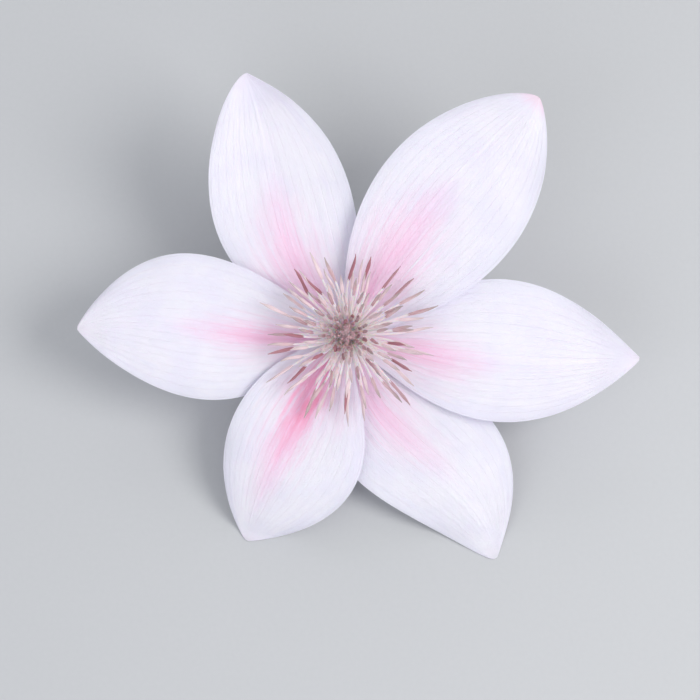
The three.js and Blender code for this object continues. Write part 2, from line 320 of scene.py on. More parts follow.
# Sepals, as the model has them: azimuth and reach of the tip, half widths on the clockwise and the
# other side, sideways bows near base and tip, how slowly each side widens and how pointed it is, layer,
# lift of the tip, cup and waves. bar: how far along the rose bar fades out, its half width in mm, how
# pink it is, how deep its heart is and how far it lies off the midline in mm, anticlockwise. tip: how
# rosy the very tip is.
bowl = {"rise": 5, "radius": 20}
layers = {"gap": 1.15, "spread": 0.02, "reach": 36}
sepals = [
    dict(azimuth=111.4, reach=63.8, widths=(16.3, 15.8), bows=(5, -1.1), rises=(0.8, 0.92),
         points=(1.05, 0.73), layer=-1, lift=2, cup=-1.6, wave=0.9, phase=0.4,
         bar=(0.7, 9.5, 0.82, 0.1, 1.2), tip=0.08),
    dict(azimuth=51.1, reach=68.7, widths=(19, 15.1), bows=(2.2, 0.9), rises=(0.85, 0.8),
         points=(0.85, 0.7), layer=1, lift=3.5, cup=1.2, wave=1.1, phase=2.1,
         bar=(0.67, 11.0, 0.92, 0.15, 0.8), tip=0.35),
    dict(azimuth=-4.7, reach=66.4, widths=(12.8, 19.2), bows=(-2.4, -2.2), rises=(0.93, 1.06),
         points=(0.92, 1.06), layer=0, lift=1.5, cup=-1.2, wave=0.9, phase=3.6,
         bar=(0.57, 8.5, 0.87, 0.3, -0.4), tip=0.1),
    dict(azimuth=-56.3, reach=61.3, widths=(14.7, 17.1), bows=(-5.3, 4.6), rises=(0.7, 0.76),
         points=(0.79, 1.04), layer=-1, lift=-5.5, cup=1.4, wave=0.8, phase=5.2,
         bar=(0.72, 8.2, 0.7, 0.2, 0.3), tip=0.05),
    dict(azimuth=-116.2, reach=52.4, widths=(13.4, 18.1), bows=(-0.4, -1.5), rises=(0.7, 1.1),
         points=(0.84, 0.92), layer=1, lift=-9.5, cup=1.5, wave=0.8, phase=1.2,
         bar=(0.95, 8.4, 1.15, 0.95, -0.5), tip=0.08),
    dict(azimuth=178.6, reach=61.3, widths=(16.9, 15.5), bows=(2.2, -2.4), rises=(0.93, 1.07),
         points=(0.88, 0.93), layer=0, lift=1, cup=1, wave=1, phase=4.4,
         bar=(0.72, 6.2, 0.82, 0.4, -0.2), tip=0.08),
]
# What all six share, in mm and in shares of the length or of the half width. Each turn is how far a
# wave runs, in radians, from base to tip and from the midline to a margin.
sepalLook = {
    "along": 150, "across": 88, "crowd": 1.15, "even": 0.62, "sunk": 0.6,
    "baseHalfWidth": 2.4, "tipHalfWidth": 0.35, "wrap": 0.8, "wrapTo": 0.12,
    "thickness": 0.42, "baseThickness": 1.1, "marginThickness": 0.16,
    "stoutTo": 0.1, "thinFrom": (0.02, 0.2), "tipFrom": 0.9,
    "free": (0.36, 0.72), "broad": 16.0, "liftFrom": 0.3, "liftPower": 1.7,
    "fold": 0.7, "foldRound": 0.16, "foldFrom": (0.05, 0.35), "waveTurn": (9, 1.3),
    "ruffle": 0.22, "ruffleTurn": (31, 2.1), "sag": 0.35, "sagTurns": ((5, 2.2), (-4, 3.1)),
    "ribs": 0.14, "ribPlace": 0.085, "ribWidth": 0.022, "ribFace": 0.35, "ribBack": 1.5,
    "ribsFrom": (-0.01, 0.03), "ribsWhole": 0.3,
    "groove": 0.22, "grooveWidth": 0.13, "grooveFrom": (0.0, 0.08), "crinkle": 0.05,
    "crinkleTurn": 34,
    "rest": 0.8, "clear": 0.03, "lowest": 0.02,
    "white": (0.86, 0.815, 0.95), "shadeWhite": (0.785, 0.75, 0.94), "blush": (0.90, 0.70, 0.87),
    "pink": (0.92, 0.57, 0.77), "rose": (0.97, 0.31, 0.49), "deepRose": (0.74, 0.15, 0.32),
    "green": (0.66, 0.73, 0.50), "relief": 0.05, "drawStep": 3.7,
}
bowScale = 27 / 4  # makes a bow's value the greatest distance that the midline bows


# Half width of a sepal on each side: a bell t^rise (1-t)^point scaled to 1 at its top, plus a broad
# base that fades as (1-t)^6 and a blunt tip
def sepalHalfWidth(sepal, t, clockwise):
    look = sepalLook
    rise = np.where(clockwise, *sepal["rises"])
    point = np.where(clockwise, *sepal["points"])
    widest = rise / (rise + point)
    held = np.clip(t, 0, 1)
    bell = (held / widest) ** rise * ((1 - held) / (1 - widest)) ** point
    ends = look["baseHalfWidth"] * (1 - held) ** 6 + look["tipHalfWidth"] * held
    return np.where(clockwise, *sepal["widths"]) * bell + ends


# In plan: out along the azimuth, bowed and widened sideways, the base bent round the receptacle
def sepalPlan(sepal, t, s):
    look = sepalLook
    turn = math.radians(sepal["azimuth"])
    out = baseRadius + (sepal["reach"] - baseRadius) * t
    bow = bowScale * t * (1 - t) * (sepal["bows"][0] * (1 - t) + sepal["bows"][1] * t)
    halfWidth = sepalHalfWidth(sepal, t, s < 0)
    sideways = bow + s * halfWidth
    beside = np.minimum(np.abs(sideways), look["wrap"] * baseRadius)
    around = np.sqrt(baseRadius**2 - beside**2)
    out = out - (1 - smoothStep(t, 0, look["wrapTo"])) * (baseRadius - around)
    x = out * math.cos(turn) - sideways * math.sin(turn)
    y = out * math.sin(turn) + sideways * math.cos(turn)
    return x, y, halfWidth


# In height: a shared bowl z = rise r^2 / (r^2 + radius^2), the layer's step, then the sepal's own
# lift, cup, waves, ruffles and sag where it is clear of its neighbours, all less where it narrows, a
# shallow fold down the midline, and a groove with fine crinkles. broad is 1 but where it narrows.
def sepalHeight(sepal, t, s, x, y, broad):
    look = sepalLook
    phase = sepal["phase"]
    radius = np.hypot(x, y)
    z = bowl["rise"] * radius**2 / (radius**2 + bowl["radius"] ** 2)
    z = z + sepal["layer"] * (layers["gap"] + layers["spread"] * np.minimum(radius, layers["reach"]))
    free = smoothStep(t, *look["free"]) * broad
    lifted = np.maximum(0, (t - look["liftFrom"]) / (1 - look["liftFrom"])) ** look["liftPower"]
    z = z + sepal["lift"] * lifted
    z = z + sepal["cup"] * free * (1 - s**2)
    folded = look["fold"] * broad * smoothStep(t, *look["foldFrom"])
    z = z + folded * (np.hypot(s, look["foldRound"]) - look["foldRound"])
    alongTurn, acrossTurn = look["waveTurn"]
    z = z + sepal["wave"] * free * np.abs(s) ** 3 * np.sin(alongTurn * t + phase + acrossTurn * s)
    alongTurn, sideTurn = look["ruffleTurn"]
    ruffled = np.sin(alongTurn * t + 5 * phase + sideTurn * np.sign(s))
    z = z + look["ruffle"] * free * np.abs(s) ** 5 * ruffled
    (firstAlong, firstAcross), (nextAlong, nextAcross) = look["sagTurns"]
    sagged = np.sin(firstAlong * t + firstAcross * s + 3 * phase)
    z = z + look["sag"] * free * sagged * np.cos(nextAlong * t + nextAcross * s + phase)
    fade = smoothStep(t, *look["grooveFrom"]) * (1 - t) ** 0.5 * broad**2
    z = z - look["groove"] * fade * np.exp(-((s / look["grooveWidth"]) ** 2))
    crinkled = np.sin(look["crinkleTurn"] * s + 2 * np.sin(4 * t + phase))
    return z + look["crinkle"] * fade * crinkled * (1 - s**2)


# The middle of the sheet at t along and s across, from -1 to 1. Near the surface that it lies on, it
# settles onto it softly, as z = (a + b + sqrt((a - b)^2 + rest^2)) / 2.
def sepalMiddle(sepal, t, s, thickness):
    look = sepalLook
    x, y, halfWidth = sepalPlan(sepal, t, s)
    width = sepalHalfWidth(sepal, t, True) + sepalHalfWidth(sepal, t, False)
    broad = np.minimum(1, width / look["broad"])
    z = sepalHeight(sepal, t, s, x, y, broad)
    surface = -(bloom["centre"][2] + y * math.sin(bloom["lean"])) / math.cos(bloom["lean"])
    settled = surface + thickness / 2 + look["clear"]
    z = 0.5 * (z + settled + np.sqrt((z - settled) ** 2 + look["rest"] ** 2))
    return np.stack([x, y, z], -1), halfWidth, broad


# How thick the sheet is: stout at the base, thin at the margins and the tip
def sepalThickness(t, s):
    look = sepalLook
    stout = 1 - smoothStep(t, 0, look["stoutTo"])
    middle = look["thickness"] + (look["baseThickness"] - look["thickness"]) * stout
    edge = np.maximum(np.abs(s), smoothStep(t, look["tipFrom"], 1)) ** 6
    return middle + (look["marginThickness"] - middle) * edge * smoothStep(t, *look["thinFrom"])


# The grid of a sepal: its rows crowd towards the tip and its columns towards the midline, and its
# first rows lie beyond the base, towards the receptacle. Three ribs thicken it, mostly on the back.
def sepalGrid(sepal):
    look = sepalLook
    start = -look["sunk"] / (sepal["reach"] - baseRadius)
    t = start + (1 - start) * (1 - (1 - np.linspace(0, 1, look["along"])) ** look["crowd"])
    across = np.linspace(-1, 1, look["across"])
    s = across * (look["even"] + (1 - look["even"]) * across**2)
    t, s = np.meshgrid(t, s, indexing="ij")
    thickness = sepalThickness(t, s)
    middle, halfWidth, broad = sepalMiddle(sepal, t, s, thickness)
    normal = unit(np.cross(np.gradient(middle, axis=0), np.gradient(middle, axis=1)))
    places = (-look["ribPlace"], 0, look["ribPlace"])
    ribs = sum(np.exp(-(((s - place) / look["ribWidth"]) ** 2)) for place in places)
    ribs = ribs * look["ribs"] * smoothStep(t, *look["ribsFrom"])
    ribs = ribs * np.where(t < look["ribsWhole"], 1, broad**2)
    face = middle + normal * (thickness / 2 + look["ribFace"] * ribs)[..., None]
    back = middle - normal * (thickness / 2 + look["ribBack"] * ribs)[..., None]
    return t, s, s * halfWidth - sepal["bar"][4], broad, face, back


def makeSepal(name, sepal, material):
    t, s, sideways, broad, face, back = sepalGrid(sepal)
    rows, columns = t.shape
    count = rows * columns
    front = gridFaces(rows, columns)[:, ::-1]
    index = np.arange(count).reshape(rows, columns)
    rim = np.concatenate([index[0], index[1:, -1], index[-1, -2::-1], index[-2:0:-1, 0]])
    after = np.roll(rim, -1)
    edge = np.stack([rim, after, after + count, rim + count], -1)
    points = intoRow(np.concatenate([face.reshape(-1, 3), back.reshape(-1, 3)]))
    points[:, 2] = np.maximum(points[:, 2], sepalLook["lowest"] * mm)
    uv = np.tile(np.stack([t.ravel(), 0.5 + 0.5 * s.ravel()], -1), (2, 1))
    return makePiece(
        name, points, [front, front[:, ::-1] + count, edge], material, uv,
        underside=np.repeat([0.0, 1.0], count), sideways=np.tile(sideways.ravel(), 2),
        broad=np.tile(broad.ravel(), 2),
    )


# The patterns' stretches along and across a sepal, how the bar narrows, and how strongly each mark
# shows
sepalMarks = {
    "streaks": (2.4, 15.0), "fine": (9.0, 70.0), "patches": (9.0, 7.0), "net": (26.0, 24.0),
    "veins": 26.0,
    "byStreak": 1.5, "byFine": 0.6, "byPatch": 1.5, "narrowing": 0.55, "leastWidth": 0.06,
    "deepRose": 0.35, "veinRose": 0.35, "veinBlush": 0.12, "cloudShade": 0.7, "netStrength": 0.5,
    "backRose": 0.3, "backVeins": 0.25, "fineRelief": 1.1, "cellRelief": 0.5,
}


# Colour, gloss and relief of a sepal, from its place along and across. The bar is a wedge round the
# midline whose edge and end are broken into streaks and patches, deepest near the base. Veins run
# along lines of equal share of the width, so that they meet at base and tip, with a net between them.
def buildSepalMarkings():
    look, marks = sepalLook, sepalMarks
    tree, given, result = newGroup(
        "sepalMarkings",
        {"Bar reach": 0.6, "Bar width": 8.0, "Bar pink": 0.8, "Bar heart": 0.5, "Tip": 0.1, "Draw": 0.0},
        {"Color": "Color", "Roughness": "Float", "Height": "Float"},
    )
    along, acrossShare = surfacePlace(tree)
    across = scaled(tree, acrossShare, 2.0, -1.0)
    fromMiddle = sums(tree, "ABSOLUTE", across)
    draw = given.outputs["Draw"]
    under = pointNumber(tree, "underside")

    # A pattern between -0.5 and 0.5
    def pattern(stretch, detail, roughness):
        place = stretchedPlace(tree, along, across, stretch, draw)
        return sums(tree, "SUBTRACT", noise(tree, place, 1.0, detail, roughness), 0.5)

    streak = pattern(marks["streaks"], 4.0, 0.6)
    fine = pattern(marks["fine"], 2.0, 0.5)
    patch = pattern(marks["patches"], 3.0, 0.6)

    # left falls from 1 at the base to 0 where the bar ends, and away is 1 at the wedge's edge
    used = sums(tree, "DIVIDE", along, given.outputs["Bar reach"])
    left = sums(tree, "SUBTRACT", 1.0, used, clamp=True)
    wedge = times(tree, given.outputs["Bar width"], sums(tree, "POWER", left, marks["narrowing"]))
    wedge = times(tree, wedge, ease(tree, along, 0.02, 0.32, 0.4, 1.0))
    wedge = sums(tree, "MAXIMUM", wedge, marks["leastWidth"])
    away = sums(tree, "DIVIDE", sums(tree, "ABSOLUTE", pointNumber(tree, "sideways")), wedge)
    away = plus(
        tree, away, times(tree, streak, marks["byStreak"]), times(tree, fine, marks["byFine"]),
        times(tree, patch, marks["byPatch"]),
    )
    uneven = sums(tree, "MULTIPLY_ADD", streak, 0.5, left, clamp=True)
    faded = times(tree, sums(tree, "POWER", uneven, 0.7), ease(tree, left, 0.0, 0.3))
    mottled = times(tree, faded, ease(tree, patch, -0.2, 0.12, 0.5, 1.2))
    bar = ease(tree, away, 0.1, 1.15, 1.0, 0.0)
    bar = times(tree, bar, mottled, given.outputs["Bar pink"], clamp=True)
    core = times(tree, ease(tree, away, -0.1, 0.75, 1.0, 0.0), ease(tree, uneven, 0.3, 0.65))
    core = times(tree, core, given.outputs["Bar heart"], clamp=True)
    deep = times(tree, core, ease(tree, left, 0.72, 0.95))

    veinPlace = plus(tree, across, times(tree, streak, 0.05))
    wave = sums(tree, "ABSOLUTE", sums(tree, "SINE", times(tree, veinPlace, marks["veins"])))
    mainVeins = ease(tree, wave, 0.0, 0.22, 1.0, 0.0)
    place = stretchedPlace(tree, along, veinPlace, marks["net"], draw)
    netVeins = ease(tree, cellPattern(tree, place, 1.0, "DISTANCE_TO_EDGE"), 0.0, 0.07, 1.0, 0.0)
    veins = sums(tree, "MAXIMUM", mainVeins, times(tree, netVeins, marks["netStrength"]))

    cloud, cells = livingSkin(tree, 9.0, 0.3)
    # Painted shade: towards the margins the white is laid a darker lavender. The clouds with it are
    # differences of tone at random.
    paintedMarginShade = ease(tree, plus(tree, fromMiddle, patch), 0.5, 1.05, 0.0, 0.8)
    toneAndPaintedShade = sums(tree, "MAXIMUM", times(tree, ease(tree, cloud, 0.35, 0.7), marks["cloudShade"]), paintedMarginShade)
    veined = times(tree, veins, marks["veinBlush"])
    white = layered(tree, look["white"], (toneAndPaintedShade, look["shadeWhite"]), (veined, look["blush"]))
    pale = times(tree, ease(tree, away, 0.3, 2.0, 0.7, 0.0), ease(tree, left, 0.0, 0.6))
    hot = times(tree, core, ease(tree, along, 0.08, 0.3, 0.4, 0.9))
    atTip = ease(tree, scaled(tree, patch, 0.06, along), 0.93, 1.01)
    colour = layered(
        tree, white, (pale, look["blush"]), (bar, look["pink"]), (hot, look["rose"]),
        (times(tree, deep, marks["deepRose"]), look["deepRose"]),
        (times(tree, veins, bar, marks["veinRose"]), look["rose"]),
        (times(tree, atTip, given.outputs["Tip"]), look["rose"]),
        (ease(tree, along, 0.0, 0.09, 0.7, 0.0), look["green"]),
    )

    middle = ease(tree, fromMiddle, 0.05, 0.3, 1.0, 0.0)
    backBar = times(tree, middle, ease(tree, along, 0.5, 1.0, 0.65, 0.15))
    back = layered(
        tree, white, (backBar, look["green"]), (times(tree, core, marks["backRose"]), look["rose"]),
        (times(tree, veins, marks["backVeins"]), look["green"]),
    )
    tree.links.new(layered(tree, colour, (under, back)), result.inputs["Color"])

    # Veins are sunk in the face and stand out on the underside
    tree.links.new(scaled(tree, cells, 0.2, 0.42), result.inputs["Roughness"])
    relief = times(tree, veins, scaled(tree, under, 2.0, -1.0))
    relief = plus(tree, relief, times(tree, fine, marks["fineRelief"]))
    relief = times(tree, relief, pointNumber(tree, "broad"))
    relief = plus(tree, relief, times(tree, cells, marks["cellRelief"]))
    tree.links.new(relief, result.inputs["Height"])
    return tree


def makeSepalMaterial(name, sepal, markings, draw):
    material, tree, shader = newMaterial(
        name, Subsurface_Weight=0.5, Subsurface_Scale=0.0014, Subsurface_Radius=(1.0, 0.8, 0.95),
        Specular_IOR_Level=0.35, Sheen_Weight=0.12, Sheen_Roughness=0.4,
    )
    reach, width, pink, heart, _ = sepal["bar"]
    marked = useGroup(tree, markings, **{
        "Bar reach": reach, "Bar width": width, "Bar pink": pink, "Bar heart": heart,
        "Tip": sepal["tip"], "Draw": draw,
    })
    paint(tree, shader, marked.outputs["Color"], marked.outputs["Roughness"])
    addBump(tree, shader, marked.outputs["Height"], sepalLook["relief"])
    return material


def makeSepals():
    markings = buildSepalMarkings()
    for number, sepal in enumerate(sepals, 1):
        node = f"sepal_{number}"
        draw = sepalLook["drawStep"] * number
        material = makeSepalMaterial(f"sepalSkin{number}", sepal, markings, draw)
        piece = makeSepal(f"fineSepal{number}", sepal, material)
        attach(piece, "root")
        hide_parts(node)
    print("sepals made")


# Stamens: rings from the outside in, each with its number, the radius and height of its roots on
# the torus, and of its anthers' tips, and how dark its anthers are
torus = {
    "profile": [(0.3, 1.8), (2.6, 1.8), (3.05, 2.2), (3.1, 2.8), (3.0, 3.2), (2.45, 4.0), (1.9, 4.8),
                (1.2, 5.05), (0.3, 5.1)],
    "sides": 40,
}
rings = [
    dict(count=26, root=(3.1, 2.9), tip=(20.1, 8.2), dark=0.1),
    dict(count=26, root=(3.05, 3.15), tip=(17.0, 10.4), dark=0.1),
    dict(count=24, root=(2.95, 3.4), tip=(13.8, 12.0), dark=0.1),
    dict(count=20, root=(2.75, 3.7), tip=(10.6, 13.2), dark=0.12),
    dict(count=15, root=(2.55, 4.0), tip=(7.8, 14.2), dark=0.12),
    dict(count=18, root=(2.35, 4.25), tip=(5.3, 14.5), dark=0.34),
    dict(count=15, root=(2.15, 4.5), tip=(4.1, 15.0), dark=0.55),
    dict(count=11, root=(1.95, 4.7), tip=(2.9, 14.8), dark=0.6),
]
# Each Draw is the width of a random spread. stagger, ringTurn: how far every second ring and every
# next one is turned, in shares of the gap between two stamens. curl: how far a stamen sways sideways
# in mm. darkShare: how many anthers besides are darker, and darkAdd by how much.
stamenLook = {
    "seed": 7, "steps": 25, "sunk": (0.5, 0.35), "antherShare": 0.36, "bend": (0.45, 0.62),
    "stagger": 0.5, "ringTurn": 0.2, "radiusDraw": 4.6, "innerDraw": 0.1, "heightDraw": 2.4,
    "turnDraw": 0.3, "curl": 2.6, "strongCurl": 6, "curlFrom": 0.3, "curlReach": 20,
    "twist": 2.8, "twistFrom": 0.2, "darkDraw": 0.5, "darkShare": 0.16, "darkAdd": 0.7,
    "filamentWidth": (0.36, 0.24), "filamentDepth": (0.22, 0.15), "filamentSides": 8,
    "antherWidth": 0.38, "antherDepth": 0.3, "antherSides": 14, "furrow": (0.55, 0.85),
    "swellFrom": (-0.2, 0.2), "taper": 0.8, "taperFrom": (0.66, 1.02),
    "pinch": 0.12, "pinchTurn": 9, "grainScale": 6500.0,
    "cream": (0.99, 0.95, 0.90), "pink": (1.0, 0.90, 0.94), "mauve": (0.55, 0.30, 0.34),
    "dusk": (0.89, 0.69, 0.73), "slate": (0.38, 0.33, 0.32), "maroon": (0.42, 0.17, 0.21),
    "pollen": (0.96, 0.91, 0.90),
}


# Each stamen's path: a quadratic curve from its root, steep at first, bending out to its tip, with
# a sideways sway. Its width points sideways and turns a little on the way.
def stamenPaths():
    look = stamenLook
    roll = np.random.default_rng(look["seed"])
    t = np.linspace(0, 1, look["steps"])[None, :, None]
    outermost = rings[0]["tip"][0]
    parts = []
    for k, ring in enumerate(rings):
        count = ring["count"]
        (rootRadius, rootHeight), (ringRadius, ringHeight) = ring["root"], ring["tip"]
        turned = look["stagger"] * (k % 2) + look["ringTurn"] * k
        turn = 2 * np.pi * (np.arange(count) + turned) / count
        tipTurn = turn + look["turnDraw"] * (roll.random(count) - 0.5)
        draw = look["radiusDraw"] * (look["innerDraw"] + (1 - look["innerDraw"]) * ringRadius / outermost)
        tipRadius = ringRadius + draw * (roll.random(count) - 0.6)
        tipHeight = ringHeight + look["heightDraw"] * (roll.random(count) - 0.5)
        root = polar(rootRadius - look["sunk"][0], turn, rootHeight - look["sunk"][1])
        middleRadius = rootRadius + look["bend"][0] * (tipRadius - rootRadius)
        middleHeight = rootHeight + look["bend"][1] * (tipHeight - rootHeight)
        middle = polar(middleRadius, 0.5 * (turn + tipTurn), middleHeight)
        path = bend(root, middle, polar(tipRadius, tipTurn, tipHeight), look["steps"])
        side = polar(1.0, tipTurn + np.pi / 2, 0.0)[:, None]
        little = roll.random((count, 1, 1)) - 0.5
        strong = look["strongCurl"] * (roll.random((count, 1, 1)) - 0.5) ** 3
        sway = look["curl"] * (little + strong) * smoothStep(t, look["curlFrom"], 1) ** 2
        path = path + side * sway * (tipRadius / look["curlReach"])[:, None, None]
        twist = look["twist"] * (roll.random((count, 1, 1)) - 0.5) * smoothStep(t, look["twistFrom"], 1)
        across = side * np.cos(twist) + np.array([0.0, 0.0, 1.0]) * np.sin(twist)
        dark = ring["dark"] + look["darkDraw"] * (roll.random(count) - 0.5)
        dark = dark + look["darkAdd"] * (roll.random(count) < look["darkShare"])
        parts.append((path, across, dark, roll.random(count)))
    return [np.concatenate(part) for part in zip(*parts)]


# A flattened outline with a furrow down each face, as two pollen sacs side by side make it
def antherOutline(sides):
    turn = roundTurns(sides)
    least, more = stamenLook["furrow"]
    return np.stack([np.cos(turn), np.sin(turn) * (least + more * np.cos(turn) ** 2)], -1)


# Turns a profile of radius and height about the bloom's axis
def turnedPoints(radius, height, sides):
    return polar(radius[:, None], roundTurns(sides)[None], height[:, None])


def makeFilamentMaterial():
    look = stamenLook
    material, tree, shader = newMaterial(
        "filamentFlesh", Subsurface_Weight=0.5, Subsurface_Scale=0.0012, Specular_IOR_Level=0.4
    )
    along, turn = surfacePlace(tree)
    cloud, cells = livingSkin(tree, 2.5, 0.2)
    reach = plus(tree, along, scaled(tree, cloud, 0.5, -0.25))
    colour = layered(
        tree, look["cream"], (ease(tree, reach, 0.05, 0.5), look["pink"]),
        (ease(tree, reach, 0.9, 1.2), look["dusk"]),
    )
    paint(tree, shader, colour, scaled(tree, cells, 0.3, 0.4))
    addBump(tree, shader, noise(tree, stretchedPlace(tree, along, turn, (3.0, 16.0))), 0.06)
    return material


# Anthers: mauve to dusky pink from one to the next, greyer towards their ends, a few maroon, with
# pale pollen in grains along their furrows
def makeAntherMaterial():
    look = stamenLook
    material, tree, shader = newMaterial("antherSkin", Specular_IOR_Level=0.3, Sheen_Weight=0.2)
    along, turn = surfacePlace(tree)
    dark, tone = pointNumber(tree, "dark"), pointNumber(tree, "tone")
    cloud, _ = livingSkin(tree, 5.0, 0.14)
    furrow = sums(tree, "ABSOLUTE", sums(tree, "COSINE", times(tree, turn, 2 * math.pi)))
    place = stretchedPlace(tree, along, turn, (3.0, 10.0), times(tree, tone, 40.0))
    cloudy = ease(tree, noise(tree, place), 0.35, 0.7)
    grey = times(tree, ease(tree, along, 0.35, 1.0, 0.1, 0.85), ease(tree, tone, 0.9, 0.2, 0.6, 1.0))
    grain = cellPattern(tree, objectPlace(tree), look["grainScale"])
    dusty = times(tree, ease(tree, cloud, 0.35, 0.7), 0.65)
    dust = times(
        tree, ease(tree, grain, 0.2, 0.45, 1.0, 0.0), dusty,
        ease(tree, furrow, 0.3, 0.9, 0.15, 0.75), ease(tree, dark, 0.5, 1.0, 1.0, 0.15),
    )
    colour = layered(
        tree, look["mauve"], (ease(tree, tone, 0.15, 0.7), look["dusk"]),
        (times(tree, cloudy, 0.35), look["pink"]), (grey, look["slate"]),
        (ease(tree, dark, 0.2, 0.9), look["maroon"]), (dust, look["pollen"]),
    )
    paint(tree, shader, colour, ease(tree, dust, 0.0, 1.0, 0.5, 0.85))
    addBump(tree, shader, sums(tree, "SUBTRACT", 1.0, grain), 0.05)
    return material


def makeStamens():
    look = stamenLook
    steps = look["steps"]
    paths, across, dark, tones = stamenPaths()
    joint = int(round((1 - look["antherShare"]) * (steps - 1)))
    rods = len(paths)

    # Filaments thin to their tips and run one step into the anthers
    end = joint + 2
    stems = sweepRods(
        paths[:, :end], across[:, :end], np.linspace(*look["filamentWidth"], end),
        np.linspace(*look["filamentDepth"], end), roundOutline(look["filamentSides"]),
    )
    core = turnedPoints(*np.transpose(torus["profile"]), torus["sides"])
    points, faces, uv = withForm(stems, core)
    filaments = makePiece("filaments", intoRow(points), faces, makeFilamentMaterial(), uv)

    # Anthers swell from the joint, taper to the tip and are pinched a little on the way
    share = np.linspace(0, 1, steps - joint)[None]
    tapered = 1 - look["taper"] * smoothStep(share, *look["taperFrom"])
    swell = smoothStep(share, *look["swellFrom"]) * tapered
    pinched = 1 - look["pinch"] * np.sin(look["pinchTurn"] * share + np.arange(rods)[:, None])
    shapes = sweepRods(
        paths[:, joint:], across[:, joint:], look["antherWidth"] * swell * pinched,
        look["antherDepth"] * swell, antherOutline(look["antherSides"]),
    )
    each = (steps - joint) * look["antherSides"]
    anthers = makePiece(
        "anthers", intoRow(shapes[0]), shapes[1], makeAntherMaterial(), shapes[2],
        dark=np.repeat(dark, each), tone=np.repeat(tones, each),
    )
    for piece in (filaments, anthers):
        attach(piece, "root")
        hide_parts("stamens")
    print("stamens made:", rods)


# Pistils: a small head of carpels with a tuft of styles, and silky hairs up each style. head: radius
# and height of its profile as shares of the head's own.
pistilLook = {
    "seed": 3, "count": 30, "steps": 16, "sides": 7, "foot": 5.0, "length": 8.4, "shorter": 0.22,
    "rootRadius": 0.95, "rootHeight": 0.5, "bendRadius": 0.9, "bendHeight": 6, "tipRadius": 2.3,
    "tipDraw": (0.7, 0.5), "lengthDraw": 1.6, "turnDraw": 0.9,
    "width": 0.19, "thins": (1.2, 0.55), "tipThins": 0.7, "tipFrom": 0.9,
    "headRadius": 1.25, "headHeight": 1.7, "headSides": 36, "lumps": 9, "lumpDepth": 0.08,
    "head": [(0.9, 0), (1.0, 0.12), (0.98, 0.4), (0.8, 0.7), (0.5, 0.92), (0.15, 1.0)],
    "hairs": 60, "hairFrom": 3, "hairSteps": 12, "hairCrowd": 0.7, "hairLength": 1.0,
    "hairWidth": 0.026, "hairRise": 0.9, "hairLean": 0.5, "hairOut": 0.15,
    "plum": (0.86, 0.55, 0.6), "tip": (0.9, 0.67, 0.71), "green": (0.7, 0.68, 0.5),
    "silk": (0.98, 0.91, 0.92),
}


def makeStyleMaterial():
    look = pistilLook
    material, tree, shader = newMaterial(
        "styleFlesh", Specular_IOR_Level=0.4, Subsurface_Weight=0.1, Subsurface_Scale=0.0005
    )
    along, turn = surfacePlace(tree)
    cloud, cells = livingSkin(tree, 1.2, 0.15)
    reach = plus(tree, along, scaled(tree, cloud, 0.4, -0.2))
    colour = layered(
        tree, look["green"], (ease(tree, reach, 0.0, 0.25), look["plum"]),
        (ease(tree, reach, 0.75, 1.0), look["tip"]),
    )
    paint(tree, shader, colour, ease(tree, cells, 0.0, 1.0, 0.4, 0.7))
    addBump(tree, shader, noise(tree, stretchedPlace(tree, along, turn, (5.0, 12.0))), 0.05)
    return material


def makeHairMaterial(name, rootColour, tipColour):
    material, tree, shader = newMaterial(
        name, Specular_IOR_Level=0.5, Subsurface_Weight=0.2, Subsurface_Scale=0.0003
    )
    along, _ = surfacePlace(tree)
    colour = layered(tree, rootColour, (ease(tree, along, 0.0, 1.0), tipColour))
    cloud, _ = livingSkin(tree, 1.0, 0.1)
    paint(tree, shader, colour, ease(tree, cloud, 0.2, 0.8, 0.35, 0.6))
    return material


# Hairs as three-sided rods of three steps that thin to a point, bending over as they rise
hairShape = {"bendsAt": 0.55, "sunk": 0.06, "widths": (1.0, 0.75, 0.12)}


def hairRods(roots, ways, lean, lengths, width):
    middle = roots + ways * lengths[:, None] * hairShape["bendsAt"]
    tips = roots + (ways + lean) * lengths[:, None]
    paths = bend(roots - hairShape["sunk"] * ways, middle, tips, 3)
    across = np.cross(ways, lean + 1e-3)[:, None]
    widths = width * np.array([hairShape["widths"]])
    return sweepRods(paths, across, widths, widths, roundOutline(3))


